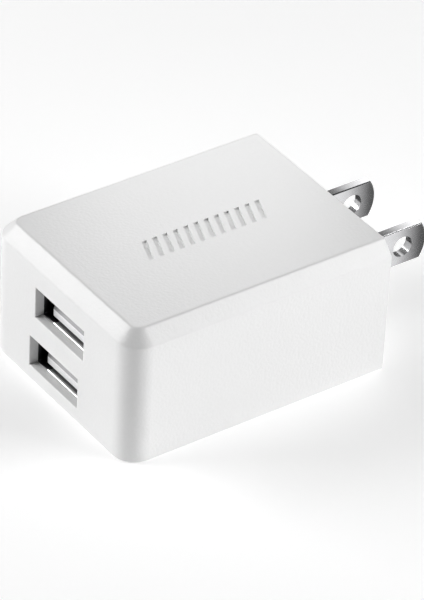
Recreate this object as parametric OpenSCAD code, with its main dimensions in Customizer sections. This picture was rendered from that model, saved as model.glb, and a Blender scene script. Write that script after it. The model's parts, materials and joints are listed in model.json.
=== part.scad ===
// USB wall charger with two stacked USB-A sockets and two fixed flat blades.
// Frame: origin at the centre of the wall face, midway between the blades.
// +Y points into the wall outlet, -Y is the socket face, +Z is up.

/* [Housing] */
// Width of the housing
body_w = 36; // [34:0.5:42]
// Depth of the housing, from the wall face to the socket face
body_d = 45.4; // [45:0.2:52]
// Height of the housing
body_h = 22.4; // [22:0.2:26]
// Thickness of the housing wall
wall = 1.8; // [1.6:0.1:2]
// Thickness of the wall that the sockets open through
front_wall = 1.5; // [1.4:0.05:1.8]
// Radius of the two upright corners of the socket face
corner_r = 3.8; // [3:0.1:5]
// Size of the 45 degree chamfer round the top
chamfer = 2.1; // [1.5:0.1:2.4]
// Radius that softens the lower edge
edge_r = 0.4; // [0.2:0.1:0.8]
// Radius that softens both edges of the chamfer
blend_r = 0.6; // [0.3:0.1:1]

/* [Plug] */
// Distance between the middles of the two blades
blade_pitch = 12.7; // [12.6:0.1:12.8]
// Height of a blade
blade_w = 6.35; // [6.2:0.05:6.5]
// Thickness of a blade
blade_t = 1.52; // [1.4:0.02:1.6]
// Length of a blade outside the housing
blade_l = 15.2; // [15:0.1:18]
// Diameter of the round hole in a blade
blade_hole_d = 3.5; // [3:0.1:4]
// Distance of that hole from the wall face
blade_hole_y = 10.9; // [10.5:0.1:12]
// Radius of the rounded end of a blade
blade_tip_r = 5.5; // [4.5:0.1:8]
// Height of the blades' centre line above the underside
plug_z = 11.5; // [11:0.1:12]

/* [Sockets] */
// Width of a socket opening
port_w = 12.4; // [12.2:0.1:13]
// Height of a socket opening
port_h = 5.2; // [5:0.1:5.4]
// Distance between the middles of the two openings
port_pitch = 9.2; // [9:0.1:9.6]
// Height of the point midway between the openings, above the underside
port_z = 9.7; // [9.6:0.1:10]
// Sideways step of the lower opening
port_step = 1.2; // [0:0.1:2]
// Bevel round a socket opening
port_bevel = 0.1; // [0.1:0.05:0.4]
// Width of the contact tongue
tongue_w = 9.8; // [9.4:0.1:11]
// Thickness of the contact tongue
tongue_t = 1.84; // [1.7:0.02:2]
// Gap under the tongue, whose contacts face up
tongue_gap = 0.6; // [0.6:0.05:0.9]
// Distance of the tongue's nose behind the socket face
tongue_y = 2.1; // [2.1:0.1:3]

/* [Power board] */
// Thickness of both circuit boards
board_t = 1.2; // [1:0.1:1.4]
// Height of the free space under the power board
board_lift = 1.5; // [1.4:0.1:1.6]
// Width of the transformer core
core_w = 15; // [14:0.5:15]
// Depth of the transformer core
core_d = 5.2; // [4.8:0.2:5.6]
// Height of the transformer core
core_h = 13.6; // [12:0.2:14]
// Diameter of an input capacitor
input_cap_d = 7; // [6:0.1:7]
// Height of an input capacitor
input_cap_h = 12.5; // [9:0.5:13]
// Diameter of an output capacitor
output_cap_d = 6.3; // [5:0.1:6.3]
// Height of an output capacitor
output_cap_h = 8; // [6:0.5:10]

/* [Hidden] */
$fn = 64;
eps = 0.01;
// Gap between pieces that stand against each other
fit = 0.05;

// Housing
floor_z = -plug_z;
top_z = floor_z + body_h;
front_y = -body_d;
inner_floor_z = floor_z + wall;
inner_top_z = top_z - wall;
inner_w = body_w - 2 * wall;
inner_r = corner_r - wall;
// Chamfer of the cavity, which keeps the wall as thick at the chamfer as elsewhere
inner_chamfer = chamfer - wall * (2 - sqrt(2));
seat_d = 2.2;
seat_lip = 1;
mark_depth = 0.25;
mark_length = 22.2;
mark_height = 4.4;
mark_stroke = 0.8;
mark_count = 12;
mark_slant = 1.6;
mark_pos = [0.7, front_y + 24.4];

// Plug
cover_inset = 0.15;
cover_t = seat_d - fit;
spigot_d = 2.4;
spigot_t = 1.1;
boss_d = 3.5;
boss_margin = 1.6;
blade_bevel = 0.16;
tail_w = 3.2;
tail_y = -9;
tail_l = 3;
tail_hole_d = 1.4;
shank_margin = 0.6;

// Sockets
sheet = 0.3;
socket_l = 13;
socket_w = 12.5;
socket_h = 5.12;
socket_corner_r = 0.3;
socket_y = front_y + front_wall + fit;
socket_back_y = socket_y + socket_l;
base_d = 4;
nose_r = 0.5;
nose_face = 1;
contact_x = [-3.5, -1, 1, 3.5];
contact_w = 1;
contact_t = 0.25;
contact_rise = 0.35;
contact_setback = 1.4;
contact_gap = 0.02;
// Rounded hump of a contact: its distance behind the contact's start, its foot and its crest
hump_y = 3;
hump_foot = 1.6;
hump_crest = 0.4;
finger_x = [-3, 3];
finger_w = 1.8;
finger_l = 5;
finger_rise = 0.28;
finger_t = 0.15;
finger_setback = 2;
lip_x = -3.4;
lip_w = 8.6;
lip_r = 0.18;
lip_reach = 0.28;
lip_root = 0.8;
lip_t = 0.12;
// Middle of each opening, as [x, z]
upper_port = [0, floor_z + port_z + port_pitch / 2];
lower_port = [-port_step, floor_z + port_z - port_pitch / 2];

// Boards
usb_board_y = socket_back_y + fit;
usb_board_back_y = usb_board_y + board_t;
usb_board_w = 30.6;
usb_board_z = inner_floor_z + 0.3;
usb_board_h = 17.2;
tooling_d = 1.6;
tooling_inset = 2.2;
rib_w = 1.6;
rib_t = 1;
board_z = inner_floor_z + board_lift;
board_top_z = board_z + board_t;
board_w = 31.2;
board_front_y = usb_board_back_y + 2 * fit;
board_back_y = -5.2;
slot_pos = [7.2, 4.6];
slot_size = [7.2, 1];
link_x = 3;
link_w = 9;
link_t = 2.5;
pin_t = 0.6;

// Transformer
core_back = 2.4;
core_leg = 2.6;
core_centre = 4;
core_gap = 0.1;
bobbin_t = 0.6;
flange_t = 0.7;
flange_rim = 0.8;
bobbin_foot_d = 2;
// Thickness of the winding beside the middle leg and in front of it
winding_x = 1.4;
winding_y = 1.9;
tape_t = 0.2;
core_pos = [6.8, -20.6, board_top_z + 0.5];
window_h = core_h - 2 * core_back;
tube_w = core_centre + 2 * core_gap;
tube_d = core_d + 2 * core_gap;
bobbin_w = tube_w + 2 * bobbin_t;
bobbin_d = tube_d + 2 * bobbin_t;
winding_h = window_h - 2 * flange_t - 0.4;

// Parts on the boards
input_cap_pos = [[-11.9, -10], [-11.9, -17.7]];
output_cap_pos = [[-11.8, -25.2], [-4.6, -25.3]];
bridge_pos = [3, -11.6];
switch_pos = [-2.7, -11.6];
rectifier_pos = [9, 2];
fuse_pos = [0, -7.2];
inductor_pos = [12, -10.6];
disc_pos = [-4.2, -17.3];
bridge_size = [4.7, 3.2, 2.4];
chip_size = [4.9, 3.2, 1.5];
// Starts of the rows of small chip parts: [x, y] on the power board, [x, z] on the upright one
flat_row_1 = [-1.8, -16.8];
flat_row_2 = [8.4, -7];
upright_row = [-13, 2];
tall_row_1 = [-13, 5];
tall_row_2 = [5, -2.5];
flat_chip = [0.8, 1.6, 0.45];
upright_chip = [0.8, 0.45, 1.6];
tall_chip = [1, 0.8, 1.8];
chip_step = 1.9;
film_t = 0.25;
film_margin = 0.5;
film_drop = 7;
lead_d = 1.4;
lead_bend = 1.5;
lead_y = tail_y - 0.4;

// ---------------------------------------------------------------- shared shapes

// Points of an arc, for use in an outline
function arc(centre, r, from, to, steps) = [
    for (i = [0:steps])
        let (a = from + (to - from) * i / steps)
            [centre.x + r * cos(a), centre.y + r * sin(a)]
];

// Outer edge of the housing's section: lower edge, upright wall, chamfer, top.
// x runs outwards and the wall stands at x = reach.
function rim(reach, h, c, low_r, high_r) =
    let (t = high_r * tan(22.5))
    concat(
        arc([reach - low_r, low_r], low_r, -90, 0, 4),
        arc([reach - high_r, h - c - t], high_r, 0, 45, 3),
        arc([reach - c - t, h - high_r], high_r, 45, 90, 3)
    );

function mirrored(points) = [
    for (i = [len(points) - 1:-1:0]) [-points[i].x, points[i].y]
];

// A block standing on z = 0 with its back at y = 0, round upright corners at the front,
// and a chamfer round the top of the front and the sides
module chamfered_block(w, d, h, r, c, low_r, high_r) {
    half = w / 2 - r;
    reach = d - r;
    rotate([90, 0, 0])
        linear_extrude(reach)
            polygon(concat(
                rim(w / 2, h, c, low_r, high_r),
                mirrored(rim(w / 2, h, c, low_r, high_r))
            ));
    translate([-half, 0, 0])
        rotate([90, 0, 90])
            linear_extrude(2 * half)
                polygon(concat([[-reach, 0]], [[-reach, h]], mirrored(rim(d, h, c, low_r, high_r))));
    for (side = [0, 1])
        translate([side == 0 ? -half : half, -reach, 0])
            rotate(180 + 90 * side)
                rotate_extrude(angle = 90)
                    polygon(concat([[0, h]], [[0, 0]], rim(r, h, c, low_r, high_r)));
}

// Outline of the closed end, a rectangle whose upper corners are cut at 45 degrees
module end_outline(w, h, c) {
    polygon([
        [-w / 2, 0], [w / 2, 0], [w / 2, h - c], [w / 2 - c, h], [c - w / 2, h], [-w / 2, h - c]
    ]);
}

// A slab of that outline between two depths
module end_slab(w, h, c, z, from_y, to_y) {
    translate([0, to_y, z])
        rotate([90, 0, 0])
            linear_extrude(to_y - from_y)
                end_outline(w, h, c);
}

module rounded_rectangle(w, h, r) {
    square([w - 2 * r, h], center = true);
    square([w, h - 2 * r], center = true);
    for (x = [-1, 1], z = [-1, 1])
        translate([x * (w / 2 - r), z * (h / 2 - r)])
            circle(r);
}

// Extrudes an outline drawn in X and Z from one depth to another
module along_y(from_y, to_y) {
    translate([0, to_y, 0])
        rotate([90, 0, 0])
            linear_extrude(to_y - from_y)
                children();
}

// Extrudes an outline drawn in Y and Z over a thickness centred on x = 0
module across_x(thickness) {
    translate([-thickness / 2, 0, 0])
        rotate([90, 0, 90])
            linear_extrude(thickness)
                children();
}

// ---------------------------------------------------------------- housing

// Half of the opening's outline at one side of a middle line: a wall with a bevel at the face
function flared(half) =
    let (flare = port_bevel + 1, back_y = front_y + front_wall + 1)
    [[half + flare, front_y - 1], [half, front_y + port_bevel], [half, back_y]];

// The space a plug passes through
module port_opening() {
    intersection() {
        translate([0, 0, -port_h])
            linear_extrude(2 * port_h)
                polygon(concat(flared(port_w / 2), mirrored(flared(port_w / 2))));
        across_x(2 * port_w)
            polygon([
                for (p = concat(flared(port_h / 2), mirrored(flared(port_h / 2)))) [p.y, p.x]
            ]);
    }
}

// A plain hatch of slanted strokes, sunk into the top
module hatch_mark() {
    step = (mark_length - mark_stroke - mark_slant) / (mark_count - 1);
    translate([mark_pos.x, mark_pos.y, top_z - mark_depth])
        linear_extrude(mark_depth + 1)
            for (i = [0:mark_count - 1])
                translate([0, i * step - mark_length / 2])
                    polygon([
                        [mark_height / 2, 0], [mark_height / 2, mark_stroke],
                        [-mark_height / 2, mark_stroke + mark_slant], [-mark_height / 2, mark_slant]
                    ]);
}

// Ledges under the power board, nibs over its rear corners, and ribs that grip the upright board
module board_guides() {
    ledge_margin = 2;
    ledge_l = board_back_y - board_front_y - 2 * ledge_margin;
    nib_h = 1;
    rib_z = inner_floor_z + 6;
    rib_h = inner_top_z - rib_z - 2;
    for (side = [-1, 1])
        translate([side * ((inner_w - rib_w) / 2 + eps) - rib_w / 2, 0, 0]) {
            translate([0, board_front_y + ledge_margin, inner_floor_z - eps])
                cube([rib_w, ledge_l, board_lift]);
            translate([0, board_back_y - nib_h, board_top_z + 2 * fit])
                cube([rib_w, nib_h, nib_h]);
            for (y = [usb_board_y - rib_t - fit, usb_board_back_y + fit])
                translate([0, y, rib_z])
                    cube([rib_w, rib_t, rib_h]);
        }
}

module front_shell() {
    color("white") {
        difference() {
            translate([0, 0, floor_z])
                chamfered_block(body_w, body_d, body_h, corner_r, chamfer, edge_r, blend_r);
            translate([0, 1, inner_floor_z])
                chamfered_block(
                    inner_w, body_d - front_wall + 1, body_h - 2 * wall,
                    inner_r, inner_chamfer, edge_r, edge_r
                );
            end_slab(
                body_w - 2 * seat_lip, body_h - 2 * seat_lip, chamfer - seat_lip * (2 - sqrt(2)),
                floor_z + seat_lip, -seat_d, 1
            );
            for (port = [upper_port, lower_port])
                translate([port.x, 0, port.y])
                    port_opening();
            hatch_mark();
        }
        board_guides();
    }
}

// Plate, locating spigot and blade sockets, closing the housing at the wall side
module rear_cover() {
    lip = seat_lip + cover_inset;
    spigot_w = inner_w - 2 * cover_inset;
    spigot_h = body_h - 2 * wall - 2 * cover_inset;
    spigot_z = inner_floor_z + cover_inset;
    color("whitesmoke")
        difference() {
            union() {
                end_slab(
                    body_w - 2 * lip, body_h - 2 * lip, chamfer - lip * (2 - sqrt(2)),
                    floor_z + lip, -cover_t, 0
                );
                difference() {
                    end_slab(
                        spigot_w, spigot_h, inner_chamfer,
                        spigot_z, -seat_d - spigot_d, -cover_t / 2
                    );
                    end_slab(
                        spigot_w - 2 * spigot_t, spigot_h - 2 * spigot_t, inner_chamfer,
                        spigot_z + spigot_t, -seat_d - spigot_d - 1, -cover_t * 0.6
                    );
                }
                for (side = [-1, 1])
                    translate([side * blade_pitch / 2, 0, 0])
                        along_y(-seat_d - boss_d, -cover_t / 2)
                            rounded_rectangle(
                                blade_t + 2 * boss_margin, blade_w + 2 * boss_margin, 1
                            );
            }
            for (side = [-1, 1])
                translate([side * blade_pitch / 2, 0, 0])
                    along_y(-seat_d - boss_d - 1, 1)
                        blade_section();
        }
}

// ---------------------------------------------------------------- blades

// Cross-section of a blade, with its four long edges bevelled
module blade_section() {
    x = blade_t / 2;
    z = blade_w / 2;
    b = blade_bevel;
    polygon([
        [x, -z + b], [x, z - b], [x - b, z], [b - x, z],
        [-x, z - b], [-x, -z + b], [b - x, -z], [x - b, -z]
    ]);
}

// A disc with bevelled rims whose edge is the blade's rounded end
module blade_tip() {
    x = blade_t / 2;
    translate([0, blade_l - blade_tip_r, 0])
        rotate([0, 90, 0])
            rotate_extrude($fn = 96)
                polygon([
                    [0, -x], [blade_tip_r - blade_bevel, -x], [blade_tip_r, blade_bevel - x],
                    [blade_tip_r, x - blade_bevel], [blade_tip_r - blade_bevel, x], [0, x]
                ]);
}

module blade() {
    straight = blade_l - blade_tip_r;
    shank_y = -seat_d - boss_d - shank_margin;
    color("silver")
        difference() {
            intersection() {
                along_y(tail_y, blade_l)
                    blade_section();
                union() {
                    blade_tip();
                    translate([-blade_w, shank_y, -blade_w])
                        cube([2 * blade_w, straight - shank_y, 2 * blade_w]);
                    translate([-blade_w, tail_y - 1, -tail_w / 2])
                        cube([2 * blade_w, 1 + tail_l + 1, tail_w]);
                }
            }
            translate([0, blade_hole_y, 0])
                rotate([0, 90, 0])
                    cylinder(h = 2 * blade_t, d = blade_hole_d, center = true);
            translate([0, tail_y + tail_l / 2, 0])
                rotate([0, 90, 0])
                    cylinder(h = 2 * blade_t, d = tail_hole_d, center = true, $fn = 32);
        }
}

module blade_left() {
    translate([-blade_pitch / 2, 0, 0])
        blade();
}

module blade_right() {
    translate([blade_pitch / 2, 0, 0])
        blade();
}

// ---------------------------------------------------------------- sockets

// Folded metal shell
module usb_shell() {
    color("gainsboro")
        difference() {
            along_y(socket_y, socket_back_y)
                rounded_rectangle(socket_w + 2 * sheet, socket_h + 2 * sheet, socket_corner_r + sheet);
            along_y(socket_y - 1, socket_back_y + 1)
                rounded_rectangle(socket_w, socket_h, socket_corner_r);
        }
}

// One of the shell's sprung fingers, bowed inwards, lying on z = 0
module finger() {
    bow = [[0, 0], [finger_l * 0.6, finger_rise], [finger_l * 0.8, finger_rise], [finger_l, 0]];
    across_x(finger_w)
        polygon(concat(bow, [for (i = [3:-1:0]) bow[i] + [0, finger_t]]));
}

// The rolled lip at the shell's mouth, a bead on the end of a strip, lying on z = 0
module lip() {
    across_x(lip_w) {
        translate([lip_r - lip_reach, lip_r])
            circle(lip_r, $fn = 32);
        translate([lip_r - lip_reach, 0])
            square([lip_root + lip_reach, lip_t]);
    }
}

// Two sprung fingers on the shell's floor and roof, and the lip on its floor
module usb_springs() {
    color("silver") {
        for (x = finger_x, side = [0, 1])
            translate([x, socket_y + finger_setback, 0])
                mirror([0, 0, side])
                    translate([0, 0, -socket_h / 2])
                        finger();
        translate([lip_x + lip_w / 2, socket_y, -socket_h / 2])
            lip();
    }
}

// Insulator: the base that fills the back of the shell and the tongue that carries the contacts
module usb_tongue() {
    low = tongue_gap - port_h / 2;
    high = low + tongue_t;
    nose_y = front_y + tongue_y;
    base_y = socket_back_y - base_d;
    color("dimgray")
        difference() {
            union() {
                intersection() {
                    translate([0, 0, low])
                        linear_extrude(tongue_t) {
                            translate([-tongue_w / 2, nose_y + nose_r])
                                square([tongue_w, base_y - nose_y - nose_r + 1]);
                            translate([-tongue_w / 2 + nose_r, nose_y])
                                square([tongue_w - 2 * nose_r, nose_r + 1]);
                            for (side = [-1, 1])
                                translate([side * (tongue_w / 2 - nose_r), nose_y + nose_r])
                                    circle(nose_r);
                        }
                    across_x(2 * tongue_w)
                        polygon([
                            [nose_y, low], [base_y + 1, low], [base_y + 1, high],
                            [nose_y + tongue_t - nose_face, high], [nose_y, low + nose_face]
                        ]);
                }
                along_y(base_y, socket_back_y)
                    rounded_rectangle(
                        socket_w - 2 * fit, socket_h - 2 * fit, socket_corner_r
                    );
            }
            contact_strips(0);
        }
}

// The four contact strips sunk in the top of the tongue, narrower by a gap on each side
module contact_strips(gap) {
    start = front_y + tongue_y + contact_setback;
    for (x = contact_x)
        translate([
            x - contact_w / 2 + gap, start + gap, tongue_gap + tongue_t - port_h / 2 - contact_t
        ])
            cube([contact_w - 2 * gap, socket_back_y - start - gap, contact_t + eps]);
}

module usb_contacts() {
    high = tongue_gap + tongue_t - port_h / 2;
    color("gold") {
        contact_strips(contact_gap);
        for (x = contact_x)
            translate([x, front_y + tongue_y + contact_setback + hump_y, high])
                across_x(contact_w - 2 * contact_gap)
                    polygon([
                        [-hump_foot, 0], [hump_foot, 0],
                        [hump_crest, contact_rise], [-hump_crest, contact_rise]
                    ]);
    }
}

module at_port(port) {
    translate([port.x, 0, port.y])
        children();
}

module usb_shell_upper() { at_port(upper_port) usb_shell(); }
module usb_shell_lower() { at_port(lower_port) usb_shell(); }
module usb_tongue_upper() { at_port(upper_port) usb_tongue(); }
module usb_tongue_lower() { at_port(lower_port) usb_tongue(); }
module usb_contacts_upper() { at_port(upper_port) usb_contacts(); }
module usb_contacts_lower() { at_port(lower_port) usb_contacts(); }
module usb_springs_upper() { at_port(upper_port) usb_springs(); }
module usb_springs_lower() { at_port(lower_port) usb_springs(); }

// ---------------------------------------------------------------- boards

module usb_board() {
    color("seagreen")
        translate([-usb_board_w / 2, usb_board_y, usb_board_z])
            difference() {
                cube([usb_board_w, board_t, usb_board_h]);
                for (x = [tooling_inset, usb_board_w - tooling_inset])
                    translate([x, -1, usb_board_h - tooling_inset])
                        rotate([-90, 0, 0])
                            cylinder(h = board_t + 2, d = tooling_d, $fn = 32);
            }
}

// Power board, slotted between its mains side and its output side
module main_board() {
    color("seagreen")
        translate([-board_w / 2, board_front_y, board_z])
            difference() {
                cube([board_w, board_back_y - board_front_y, board_t]);
                translate([slot_pos.x, slot_pos.y, -1])
                    cube([slot_size.x, slot_size.y, board_t + 2]);
            }
}

// Pin header that joins the two boards
module board_link() {
    pins = 4;
    pitch = 2;
    pin_h = 0.8;
    color("black")
        translate([link_x, usb_board_back_y, board_top_z])
            cube([link_w, link_t, link_t]);
    color("gold")
        for (i = [0:pins - 1])
            translate([
                link_x + link_w / 2 + (i - (pins - 1) / 2) * pitch - pin_t / 2,
                usb_board_back_y + (link_t - pin_t) / 2, board_top_z + link_t - eps
            ])
                cube([pin_t, pin_t, pin_h]);
}

// ---------------------------------------------------------------- transformer

// One E-shaped half of the core, standing on z = 0 with its legs up
module core_half() {
    leg_h = core_h / 2;
    color("dimgray")
        along_y(-core_d / 2, core_d / 2) {
            translate([-core_w / 2, 0])
                square([core_w, core_back]);
            for (side = [-1, 1])
                translate([side * (core_w - core_leg) / 2 - core_leg / 2, 0])
                    square([core_leg, leg_h - eps]);
            translate([-core_centre / 2, 0])
                square([core_centre, leg_h - core_gap]);
        }
}

module at_core(z) {
    translate([core_pos.x, core_pos.y, core_pos.z + z])
        children();
}

module transformer_core_lower() { at_core(0) core_half(); }
module transformer_core_upper() { at_core(core_h) mirror([0, 0, 1]) core_half(); }

// A rounded box centred on the winding's axis, half way up the core
module wound_box(w, d, h, r) {
    translate([0, 0, (core_h - h) / 2])
        linear_extrude(h)
            rounded_rectangle(w, d, r);
}

module transformer_bobbin() {
    flange_w = core_w - 2 * core_leg - 2 * core_gap;
    flange_d = bobbin_d + 2 * (winding_y + tape_t) + flange_rim;
    foot_drop = 0.4;
    foot_h = core_back + foot_drop;
    color("black")
        at_core(0)
            difference() {
                union() {
                    wound_box(bobbin_w, bobbin_d, window_h - 2 * fit, 0.4);
                    for (z = [core_back + fit, core_h - core_back - fit - flange_t])
                        translate([-flange_w / 2, -flange_d / 2, z])
                            cube([flange_w, flange_d, flange_t]);
                    for (y = [-flange_d / 2, flange_d / 2 - bobbin_foot_d])
                        translate([-flange_w / 2, y, core_back + 2 * fit - foot_h])
                            cube([flange_w, bobbin_foot_d, foot_h]);
                }
                wound_box(tube_w, tube_d, core_h, 0.2);
            }
}

module transformer_winding() {
    color("peru")
        at_core(0)
            difference() {
                wound_box(bobbin_w + 2 * winding_x, bobbin_d + 2 * winding_y, winding_h, 1.2);
                wound_box(bobbin_w + 2 * eps, bobbin_d + 2 * eps, core_h, 0.4);
            }
}

module transformer_tape() {
    w = bobbin_w + 2 * winding_x;
    d = bobbin_d + 2 * winding_y;
    color("gold")
        at_core(0)
            difference() {
                wound_box(w + 1.5 * tape_t, d + 2 * tape_t, winding_h + 2 * fit, 1.3);
                wound_box(w + 2 * eps, d + 2 * eps, core_h, 1.2);
            }
}

// ---------------------------------------------------------------- parts on the boards

// Upright can with a rolled groove near its foot and a scored top
module capacitor(d, h) {
    groove_z = 1.4;
    groove_r = 0.3;
    score = 0.2;
    translate([0, 0, board_top_z])
        difference() {
            cylinder(h = h, d = d);
            translate([0, 0, groove_z])
                rotate_extrude()
                    translate([d / 2, 0])
                        circle(groove_r, $fn = 24);
            for (a = [0, 60, 120])
                rotate(a)
                    translate([-d / 4, -score / 2, h - score])
                        cube([d / 2, score, 1]);
        }
}

module input_capacitor(i) {
    color("darkslateblue")
        translate(input_cap_pos[i])
            capacitor(input_cap_d, input_cap_h);
}

module output_capacitor(i) {
    color("lightsteelblue")
        translate(output_cap_pos[i])
            capacitor(output_cap_d, output_cap_h);
}

module input_capacitor_1() { input_capacitor(0); }
module input_capacitor_2() { input_capacitor(1); }
module output_capacitor_1() { output_capacitor(0); }
module output_capacitor_2() { output_capacitor(1); }

// A flat package lying on z = 0, with gull-wing legs along both long sides
module chip_package(size, legs) {
    pitch = 1.27;
    leg_w = 0.4;
    leg_l = 0.9;
    leg_h = 0.7;
    lift = 0.1;
    translate([-size.x / 2, -size.y / 2, lift])
        cube([size.x, size.y, size.z - lift]);
    for (i = [0:legs - 1], side = [-1, 1])
        translate([
            (i - (legs - 1) / 2) * pitch - leg_w / 2, side * (size.y + leg_l) / 2 - leg_l / 2, 0
        ])
            cube([leg_w, leg_l, leg_h]);
}

module bridge_rectifier() {
    color("black")
        on_power_board(bridge_pos)
            chip_package(bridge_size, 2);
}

module switching_chip() {
    color("black")
        on_power_board(switch_pos)
            chip_package(chip_size, 4);
}

module rectifier_chip() {
    color("black")
        on_usb_board(rectifier_pos)
            rotate([-90, 0, 0])
                chip_package(chip_size, 4);
}

// Axial resistor lying along X, its leads turned down to the board
module fuse_resistor() {
    r = 1.3;
    standoff = 0.2;
    lift = r + standoff;
    body_l = 5;
    lead_x = 3.2;
    lead_r = 0.3;
    color("green")
        translate([fuse_pos.x, fuse_pos.y, board_top_z + lift])
            rotate([0, 90, 0]) {
                cylinder(h = body_l, r = r, center = true, $fn = 48);
                cylinder(h = 2 * lead_x, r = lead_r, center = true, $fn = 24);
                for (side = [-1, 1])
                    translate([-lead_r, 0, side * lead_x])
                        rotate([0, 90, 0])
                            cylinder(h = lift + lead_r, r = lead_r, $fn = 24);
            }
}

// Drum core with its winding between two flanges
module filter_inductor() {
    r = 2.8;
    h = 7;
    waist_r = 2.3;
    flange = 1;
    ramp = 0.2;
    color("dimgray")
        on_power_board(inductor_pos)
            rotate_extrude()
                polygon([
                    [0, 0], [r, 0], [r, flange], [waist_r, flange + ramp],
                    [waist_r, h - flange - ramp], [r, h - flange], [r, h], [0, h]
                ]);
}

// Disc capacitor standing on edge
module safety_capacitor() {
    r = 3.4;
    t = 2.8;
    standoff = 0.8;
    color("royalblue")
        translate([disc_pos.x, disc_pos.y, board_top_z + r + standoff])
            rotate([0, 90, 0])
                rotate_extrude() {
                    translate([0, -t / 2])
                        square([r - t / 2, t]);
                    intersection() {
                        translate([r - t / 2, 0])
                            circle(t / 2);
                        translate([0, -t / 2])
                            square([r, t]);
                    }
                }
}

// A row of small chip parts along X, each a box
module chip_row(count, size) {
    for (i = [0:count - 1])
        translate([i * chip_step, 0, 0])
            cube(size);
}

module on_power_board(place) {
    translate([place.x, place.y, board_top_z])
        children();
}

module on_usb_board(place) {
    translate([place.x, usb_board_back_y, place.y])
        children();
}

module chip_resistors() {
    color("black") {
        on_power_board(flat_row_1) chip_row(2, flat_chip);
        on_power_board(flat_row_2) chip_row(3, flat_chip);
        on_usb_board(upright_row) chip_row(4, upright_chip);
    }
}

module chip_capacitors() {
    color("tan") {
        on_usb_board(tall_row_1) chip_row(3, tall_chip);
        on_usb_board(tall_row_2) chip_row(4, tall_chip);
    }
}

// Folded sheet over the mains parts, turned down behind the upright board
module insulating_sheet() {
    setback = 2.4;
    gap = 0.3;
    front = usb_board_back_y + setback;
    top = inner_top_z - gap;
    color("ivory")
        across_x(inner_w - 2 * (inner_chamfer + film_margin))
            polygon([
                [front, top - film_drop], [front + film_t, top - film_drop],
                [front + film_t, top - film_t], [board_back_y, top - film_t],
                [board_back_y, top], [front, top]
            ]);
}

// Insulated wire from a blade's tail down to the power board
module lead() {
    color("crimson") {
        translate([0, lead_y, 0])
            rotate([-90, 0, 0])
                cylinder(h = tail_y - lead_y - fit, d = lead_d, $fn = 32);
        translate([0, lead_y, -lead_bend])
            rotate([90, 0, -90])
                rotate_extrude(angle = 90)
                    translate([lead_bend, 0])
                        circle(d = lead_d, $fn = 32);
        translate([0, lead_y - lead_bend, board_top_z])
            cylinder(h = -lead_bend - board_top_z, d = lead_d, $fn = 32);
    }
}

module lead_left() { translate([-blade_pitch / 2, 0, 0]) lead(); }
module lead_right() { translate([blade_pitch / 2, 0, 0]) lead(); }

// ---------------------------------------------------------------- nodes

front_shell();
rear_cover();
blade_left();
blade_right();
usb_shell_upper();
usb_shell_lower();
usb_tongue_upper();
usb_tongue_lower();
usb_contacts_upper();
usb_contacts_lower();
usb_springs_upper();
usb_springs_lower();
usb_board();
main_board();
board_link();
transformer_core_lower();
transformer_core_upper();
transformer_bobbin();
transformer_winding();
transformer_tape();
input_capacitor_1();
input_capacitor_2();
output_capacitor_1();
output_capacitor_2();
bridge_rectifier();
fuse_resistor();
filter_inductor();
safety_capacitor();
switching_chip();
rectifier_chip();
chip_resistors();
chip_capacitors();
insulating_sheet();
lead_left();
lead_right();
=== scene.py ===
"""Looks of the USB wall charger: materials, floor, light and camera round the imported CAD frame."""

import json
import math

import bpy
from mathutils import Matrix, Vector


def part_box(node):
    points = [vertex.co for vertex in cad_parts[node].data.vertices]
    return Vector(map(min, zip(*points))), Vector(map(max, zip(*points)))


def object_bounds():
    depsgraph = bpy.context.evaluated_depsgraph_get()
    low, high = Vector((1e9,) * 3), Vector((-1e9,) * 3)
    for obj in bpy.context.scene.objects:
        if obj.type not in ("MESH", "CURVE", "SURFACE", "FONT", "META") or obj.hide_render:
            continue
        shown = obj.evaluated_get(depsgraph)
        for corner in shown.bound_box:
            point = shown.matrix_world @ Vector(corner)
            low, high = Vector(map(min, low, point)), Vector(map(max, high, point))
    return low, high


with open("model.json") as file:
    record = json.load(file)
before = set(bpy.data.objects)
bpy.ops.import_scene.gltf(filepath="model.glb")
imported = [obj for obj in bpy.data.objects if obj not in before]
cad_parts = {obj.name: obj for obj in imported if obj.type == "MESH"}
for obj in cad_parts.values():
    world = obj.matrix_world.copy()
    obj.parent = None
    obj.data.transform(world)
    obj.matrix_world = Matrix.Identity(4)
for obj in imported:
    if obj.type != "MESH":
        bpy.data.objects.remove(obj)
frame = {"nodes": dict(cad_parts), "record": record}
cad_low, cad_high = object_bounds()

MM = 0.001
NODES = frame["nodes"]
# Radius of a blade's rounded end, and width of the bevel round its faces
BLADE_TIP_R = 5.5 * MM
BLADE_BEVEL = 0.16 * MM
SLOT_COLOURS = {m["slot"]: m["base_color"] for m in frame["record"]["materials"]}
NODE_SLOTS = {s["node"]: s["material_slot"] for s in frame["record"]["subparts"]}


# ------------------------------------------------------------------ camera

# Where the camera stands, as seen from the middle of the housing
CAMERA_AZIMUTH = 53.29
CAMERA_ELEVATION = 35.8
CAMERA_ROLL = 3.07
CAMERA_DISTANCE = 630 * MM
CAMERA_LENS = 259.6
CAMERA_SENSOR = 36
CAMERA_CLIP = (0.01, 20)
# How far the middle of the picture lies from the middle of the housing, right and up
CAMERA_OFFSET = (3.35 * MM, -0.93 * MM)


def housing_middle():
    low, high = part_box("front_shell")
    return (low + high) / 2


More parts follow.
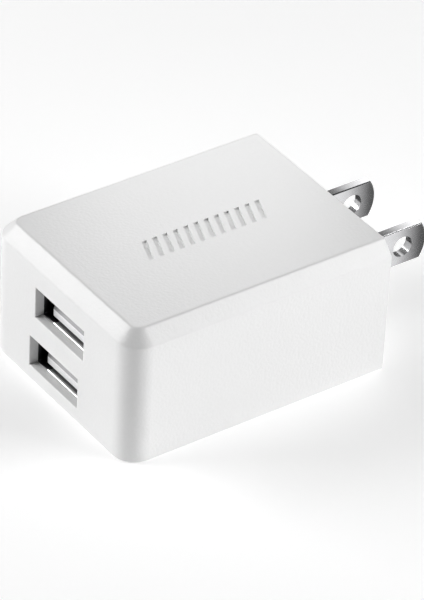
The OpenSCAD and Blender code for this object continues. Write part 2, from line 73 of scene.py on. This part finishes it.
def make_camera():
    azimuth = math.radians(CAMERA_AZIMUTH)
    elevation = math.radians(CAMERA_ELEVATION)
    back = Vector((
        math.sin(azimuth) * math.cos(elevation),
        -math.cos(azimuth) * math.cos(elevation),
        math.sin(elevation),
    ))
    level = Vector((math.cos(azimuth), math.sin(azimuth), 0))
    upright = back.cross(level)
    roll = Matrix.Rotation(math.radians(CAMERA_ROLL), 3, back)
    right = roll @ level
    up = roll @ upright
    data = bpy.data.cameras.new("camera")
    data.lens = CAMERA_LENS
    data.sensor_width = CAMERA_SENSOR
    data.clip_start, data.clip_end = CAMERA_CLIP
    camera = bpy.data.objects.new("camera", data)
    turned = Matrix((right, up, back)).transposed()
    place = housing_middle() + back * CAMERA_DISTANCE
    place += right * CAMERA_OFFSET[0] + up * CAMERA_OFFSET[1]
    camera.matrix_world = Matrix.Translation(place) @ turned.to_4x4()
    bpy.context.scene.collection.objects.link(camera)
    bpy.context.scene.camera = camera


make_camera()


# ------------------------------------------------------------------ materials

class Nodes:
    """A short way to build a node tree that ends in one Principled shader."""

    def __init__(self, name, colour, roughness, metallic=0.0):
        self.material = bpy.data.materials.new(name)
        self.material.use_nodes = True
        self.tree = self.material.node_tree
        self.shader = self.tree.nodes["Principled BSDF"]
        self.places = self.tree.nodes.new("ShaderNodeTexCoord").outputs["Object"]
        self.connect("Base Color", (*colour, 1))
        self.connect("Roughness", roughness)
        self.connect("Metallic", metallic)

    def feed(self, socket, value):
        """Links another node's output to a socket, or sets the socket to a plain value."""
        if hasattr(value, "is_linked"):
            self.tree.links.new(value, socket)
        else:
            socket.default_value = value

    def connect(self, name, value):
        """Feeds one input of the shader."""
        self.feed(self.shader.inputs[name], value)

    def add(self, kind, **inputs):
        """A new node; a blank in an input's name is written as _."""
        made = self.tree.nodes.new(kind)
        for name, value in inputs.items():
            self.feed(made.inputs[name.replace("_", " ")], value)
        return made

    def math(self, operation, *values):
        """An operation on one or two values."""
        made = self.tree.nodes.new("ShaderNodeMath")
        made.operation = operation
        for socket, value in zip(made.inputs, values):
            self.feed(socket, value)
        return made.outputs["Value"]

    def noise(self, grain_mm, detail=2.0, factors=(1, 1, 1)):
        """Noise whose grains are about grain_mm across, with a factor on each axis."""
        places = self.add("ShaderNodeMapping", Vector=self.places, Scale=factors).outputs["Vector"]
        scale = 1 / (grain_mm * MM)
        made = self.add("ShaderNodeTexNoise", Vector=places, Scale=scale, Detail=detail)
        return made.outputs["Fac"]

    def bands(self, spacing_mm, direction):
        """Soft bands across a direction."""
        made = self.add("ShaderNodeTexWave", Vector=self.places, Scale=1 / (spacing_mm * MM))
        made.bands_direction = direction
        return made.outputs["Fac"]

    def along_y(self, start, length):
        """A value that runs from 0 to 1 over a length of Y."""
        place = self.add("ShaderNodeSeparateXYZ", Vector=self.places).outputs["Y"]
        run = self.add("ShaderNodeMapRange", Value=place, From_Min=start, From_Max=start + length)
        return run.outputs["Result"]

    def ramp(self, value, stops):
        """Turns a value into a colour; stops are (place, grey or colour)."""
        made = self.add("ShaderNodeValToRGB", Fac=value)
        elements = made.color_ramp.elements
        while len(elements) < len(stops):
            elements.new(0.5)
        for element, (place, colour) in zip(elements, stops):
            element.position = place
            if not hasattr(colour, "__len__"):
                colour = (colour,) * 3
            element.color = (*colour, 1)
        return made.outputs["Color"]

    def tint(self, colour):
        """Multiplies what feeds the base colour by another colour."""
        base = self.shader.inputs["Base Color"]
        product = self.tree.nodes.new("ShaderNodeVectorMath")
        product.operation = "MULTIPLY"
        for socket, value in zip(product.inputs, (base.links[0].from_socket, colour)):
            self.feed(socket, value)
        self.feed(base, product.outputs["Vector"])

    def bump(self, heights, depths_mm, edge_mm=0.1):
        """Edges softened over edge_mm, then bump from heights, each laid over the one before."""
        normal = self.add("ShaderNodeBevel", Radius=edge_mm * MM).outputs["Normal"]
        for height, depth in zip(heights, depths_mm):
            made = self.add("ShaderNodeBump", Height=height, Distance=depth * MM, Normal=normal)
            normal = made.outputs["Normal"]
        self.connect("Normal", normal)

    def vary_roughness(self, value, roughness):
        """Makes the surface a little smoother where a noise is low and rougher where it is high."""
        smoother = roughness - 0.04
        rougher = roughness + 0.05
        self.connect("Roughness", self.ramp(value, [(0.3, smoother), (0.7, rougher)]))


def shade(colour, factor):
    return tuple(min(1.0, c * factor) for c in colour)


def moulded(name, colour, roughness, grain_mm=0.25, depth_mm=0.006):
    """Moulded plastic: a fine spark-eroded grain, over the slow swell of a moulding."""
    swell_width = 9
    swell_depth = 0.01
    made = Nodes(name, colour, roughness)
    grain = made.noise(grain_mm)
    made.connect("Base Color", made.ramp(grain, [(0.3, shade(colour, 0.985)), (0.7, colour)]))
    made.vary_roughness(grain, roughness)
    made.bump([made.noise(swell_width, detail=1.0), grain], [swell_depth, depth_mm])
    return made


def brushed_metal(name, colour, roughness, tone=1.0, factors=(1, 0.04, 1), depth_mm=0.004, edge_mm=0.1):
    """Drawn metal: long fine scratches, along Y unless factors say otherwise, and a little tarnish."""
    scratch_width = 0.07
    tarnish_width = 3.5
    colour = shade(colour, tone)
    made = Nodes(name, colour, roughness, metallic=1.0)
    scratches = made.noise(scratch_width, 3.0, factors)
    tarnish = made.noise(tarnish_width)
    made.connect("Base Color", made.ramp(tarnish, [(0.35, shade(colour, 0.93)), (0.65, colour)]))
    made.vary_roughness(scratches, roughness)
    made.bump([scratches], [depth_mm], edge_mm)
    return made


def blade_metal(name, colour):
    """Nickel plate, almost polished, with a painted dark reflection along its stamped bevels."""
    made = brushed_metal(name, colour, 0.2, depth_mm=0.0008, edge_mm=0.04)
    low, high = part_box("blade_left")
    places = made.add("ShaderNodeSeparateXYZ", Vector=made.places).outputs
    height = made.math("ABSOLUTE", places["Z"])
    # Distance from the centre of the rounded end, which counts only past that centre
    reach = made.math("MAXIMUM", made.math("SUBTRACT", places["Y"], high.y - BLADE_TIP_R), 0.0)
    squares = [made.math("MULTIPLY", side, side) for side in (reach, height)]
    from_centre = made.math("SQRT", made.math("ADD", *squares))
    past_edge = made.math("SUBTRACT", height, high.z - BLADE_BEVEL)
    past_end = made.math("SUBTRACT", from_centre, BLADE_TIP_R - BLADE_BEVEL)
    across = made.math("DIVIDE", made.math("MAXIMUM", past_edge, past_end), BLADE_BEVEL)
    # Painted reflection: the bevel band round the faces and the rounded end is tinted almost black.
    made.tint(made.ramp(across, [(0.0, 1.0), (0.08, 0.05), (0.85, 0.05), (0.97, 1.0)]))
    return made


def socket_metal(name, colour):
    """Tinned sheet, darker deeper into the socket: painted shade from the mouth inward."""
    made = brushed_metal(name, colour, 0.35)
    low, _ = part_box("usb_shell_upper")
    painted_shade_depth = made.along_y(low.y, 4 * MM)
    # Painted shade: the sheet runs from 0.3 of its tone at the mouth to about a twentieth of it 4 mm
    # inside.
    stops = [(0.0, shade(colour, 0.3)), (0.2, shade(colour, 0.09)), (1.0, shade(colour, 0.05))]
    made.connect("Base Color", made.ramp(painted_shade_depth, stops))
    return made


def socket_tongue(name, colour):
    """Moulded insulator: a light nose, and painted shade darkening the ramp behind it."""
    made = moulded(name, colour, 0.4, 0.15, 0.004)
    low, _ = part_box("usb_tongue_upper")
    painted_shade_depth = made.along_y(low.y, 0.2 * MM)
    # Painted shade: the ramp just behind the nose is darkened to about a third of the plastic's tone.
    stops = [(0.15, shade(colour, 1.3)), (0.5, shade(colour, 0.36))]
    made.connect("Base Color", made.ramp(painted_shade_depth, stops))
    return made


def speckled(name, colour, roughness, grain_mm, spread=0.25, depth_mm=0.01):
    """Sintered or coated ceramic: a visible grain in tone and height."""
    made = Nodes(name, colour, roughness)
    grain = made.noise(grain_mm, 4.0)
    stops = [(0.35, shade(colour, 1 - spread)), (0.65, shade(colour, 1 + spread))]
    made.connect("Base Color", made.ramp(grain, stops))
    made.bump([grain], [depth_mm])
    return made


def circuit_board(name, colour, roughness, weave_mm, track_mm, depth_mm):
    """Solder mask over a woven core, with the tracks showing through."""
    made = Nodes(name, colour, roughness)
    tracks = made.add(
        "ShaderNodeTexBrick",
        Vector=made.places,
        Scale=1 / (track_mm * MM),
        Color1=(*colour, 1),
        Color2=(*shade(colour, 1.35), 1),
        Mortar=(*shade(colour, 0.6), 1),
    )
    made.connect("Base Color", tracks.outputs["Color"])
    made.bump([made.bands(weave_mm, "X")], [depth_mm])
    return made


def wound_wire(name, colour, roughness, turn_mm, depth_mm):
    """Enamelled wire laid in turns, one above the other, with painted shade in the grooves between
    turns.
    """
    made = Nodes(name, colour, roughness, metallic=1.0)
    turns = made.bands(turn_mm, "Z")
    # Painted shade: each turn darkens to half its tone where it meets the next.
    made.connect("Base Color", made.ramp(turns, [(0.0, shade(colour, 0.5)), (0.6, colour)]))
    made.bump([turns], [depth_mm])
    return made


def film_tape(name, colour, roughness, layer_mm, crease_mm, depth_mm):
    """Polyester tape wound round, with a thin dark edge to each layer."""
    made = Nodes(name, colour, roughness)
    layers = made.bands(layer_mm, "Z")
    made.connect("Base Color", made.ramp(layers, [(0.0, shade(colour, 0.75)), (0.12, colour)]))
    made.bump([made.noise(crease_mm)], [depth_mm])
    return made


HOUSING_FINISH = {"roughness": 0.4, "grain_mm": 0.45, "depth_mm": 0.035}

# The maker of each slot's material, with its settings
FINISHES = {
    "housing_white": (moulded, HOUSING_FINISH),
    "cover_white": (moulded, HOUSING_FINISH),
    "blade_nickel": (blade_metal, {}),
    "socket_metal": (socket_metal, {}),
    "spring_steel": (brushed_metal, {"roughness": 0.32, "tone": 0.85}),
    "socket_insulator": (socket_tongue, {}),
    "contact_gold": (brushed_metal, {"roughness": 0.25}),
    "board_green": (
        circuit_board, {"roughness": 0.35, "weave_mm": 1.2, "track_mm": 6, "depth_mm": 0.01}
    ),
    "header_black": (moulded, {"roughness": 0.45}),
    "ferrite": (speckled, {"roughness": 0.7, "grain_mm": 0.2}),
    "bobbin_black": (moulded, {"roughness": 0.5}),
    "winding_copper": (wound_wire, {"roughness": 0.3, "turn_mm": 2.2, "depth_mm": 0.08}),
    "tape_yellow": (
        film_tape, {"roughness": 0.25, "layer_mm": 12, "crease_mm": 1.5, "depth_mm": 0.03}
    ),
    "capacitor_sleeve": (moulded, {"roughness": 0.25, "grain_mm": 1.2, "depth_mm": 0.02}),
    "capacitor_can": (brushed_metal, {"roughness": 0.3, "factors": (1, 1, 0.05)}),
    "chip_black": (speckled, {"roughness": 0.6, "grain_mm": 0.12, "spread": 0.3}),
    "resistor_green": (speckled, {"roughness": 0.6, "grain_mm": 0.2, "spread": 0.2}),
    "disc_blue": (speckled, {"roughness": 0.2, "grain_mm": 0.6, "spread": 0.1, "depth_mm": 0.03}),
    "chip_resistor": (speckled, {"roughness": 0.35, "grain_mm": 0.1, "spread": 0.3}),
    "chip_capacitor": (speckled, {"roughness": 0.45, "grain_mm": 0.1, "spread": 0.15}),
    "sheet_ivory": (moulded, {"roughness": 0.3, "grain_mm": 0.8, "depth_mm": 0.01}),
    "lead_red": (moulded, {"roughness": 0.45, "grain_mm": 0.5, "depth_mm": 0.02}),
}


def dress_nodes():
    """Gives every CAD node the material made for its slot."""
    made = {
        slot: maker(slot, SLOT_COLOURS[slot], **settings).material
        for slot, (maker, settings) in FINISHES.items()
    }
    for name, piece in NODES.items():
        piece.data.materials.clear()
        piece.data.materials.append(made[NODE_SLOTS[name]])


dress_nodes()


# ------------------------------------------------------------------ floor and light

FLOOR_SIZE = 3.0
# Keeps the floor and the underside from lying in one plane
FLOOR_GAP = 0.02 * MM
FLOOR_COLOUR = (0.93, 0.93, 0.93)
FLOOR_ROUGHNESS = 0.9
# The paper's fine waves: width and depth in mm
FLOOR_WAVE = 2.0
FLOOR_WAVE_DEPTH = 0.01
# The floor is a sheet lit softly from below, as on a product photographer's table
FLOOR_GLOW = 0.28

# Each lamp: direction from the housing, distance and side in metres, power in watts
SOFTBOXES = {
    "front": ((-0.62, -0.64, 0.46), 0.6, 0.42, 3.25),
    "side_low": ((0.66, 0.69, 0.28), 0.6, 0.42, 2.3),
    "side_high": ((0.56, 0.58, 0.60), 0.5, 0.30, 0.86),
}
# Lamps that light gloss only: a near one for the top, and one for each long chamfer
SHEENS = {
    "sheen_top": ((-0.65, 0.49, 0.58), 0.078, 0.05, 0.033),
    "sheen_front_chamfer": ((-0.65, -0.585, 0.487), 0.3, 0.12, 0.22),
    "sheen_side_chamfer": ((0.585, 0.485, 0.65), 0.3, 0.12, 0.26),
}

# Cards that the polished blades mirror: middle, tilt about Y, sides in mm, and tones along Y
CARD_GLOW = 2.0
SIDE_TONES = [(0.07, 0.64), (0.17, 0.55), (0.27, 0.31), (0.39, 0.06)]
TOP_TONES = [(0.33, 0.06), (0.4, 0.32), (0.47, 0.65), (0.57, 1.0)]
CARDS = {
    "card_beside_right": ((11.1, 19.75, -4), 90, (20, 20.5), SIDE_TONES),
    "card_beside_left": ((-1.6, 19.75, -4), 90, (20, 20.5), SIDE_TONES),
    "card_above": ((-7, 18, 9.2), 0, (26, 30), TOP_TONES),
    "flag_between": ((-9, 6.5, -8), 0, (26, 19), [(0.0, 0.04), (1.0, 0.04)]),
}


def make_floor():
    bpy.ops.mesh.primitive_plane_add(size=FLOOR_SIZE, location=(0, 0, cad_low.z - FLOOR_GAP))
    floor = bpy.context.object
    floor.name = "floor"
    paper = Nodes("floor_paper", FLOOR_COLOUR, FLOOR_ROUGHNESS)
    paper.bump([paper.noise(FLOOR_WAVE)], [FLOOR_WAVE_DEPTH])
    paper.connect("Emission Color", (1, 1, 1, 1))
    paper.connect("Emission Strength", FLOOR_GLOW)
    floor.data.materials.append(paper.material)


def make_sky():
    """A black surround, so that all the light comes from the lamps and the floor."""
    world = bpy.data.worlds.new("studio")
    world.use_nodes = True
    world.node_tree.nodes["Background"].inputs["Strength"].default_value = 0
    bpy.context.scene.world = world


def make_softbox(name, direction, distance, side, power, gloss_only=False):
    """A square lamp that looks at the middle of the housing from a direction."""
    data = bpy.data.lights.new(name, "AREA")
    data.shape = "SQUARE"
    data.size = side
    data.energy = power
    lamp = bpy.data.objects.new(name, data)
    towards = Vector(direction).normalized()
    lamp.location = housing_middle() + towards * distance
    lamp.rotation_mode = "QUATERNION"
    lamp.rotation_quaternion = towards.to_track_quat("Z", "Y")
    lamp.visible_camera = False
    lamp.visible_diffuse = not gloss_only
    bpy.context.scene.collection.objects.link(lamp)


def make_card(name, middle, tilt, sides, tones):
    """A card seen only in reflections; its tone runs along Y."""
    bpy.ops.mesh.primitive_grid_add(x_subdivisions=1, y_subdivisions=1, size=1)
    card = bpy.context.object
    card.name = name
    card.location = Vector(middle) * MM
    card.scale = (sides[0] * MM, sides[1] * MM, 1)
    card.rotation_euler.y = math.radians(tilt)
    board = Nodes(name, (0, 0, 0), 1.0)
    board.connect("Emission Color", board.ramp(board.along_y(-0.5, 1.0), tones))
    board.connect("Emission Strength", CARD_GLOW)
    board.connect("Specular IOR Level", 0)
    card.data.materials.append(board.material)
    card.visible_camera = False
    card.visible_diffuse = False
    card.visible_shadow = False
    card.visible_transmission = False


make_floor()
make_sky()
for softbox, setting in SOFTBOXES.items():
    make_softbox(softbox, *setting)
for sheen, setting in SHEENS.items():
    make_softbox(sheen, *setting, gloss_only=True)
for card, setting in CARDS.items():
    make_card(card, *setting)
bpy.context.scene.view_settings.view_transform = "Standard"
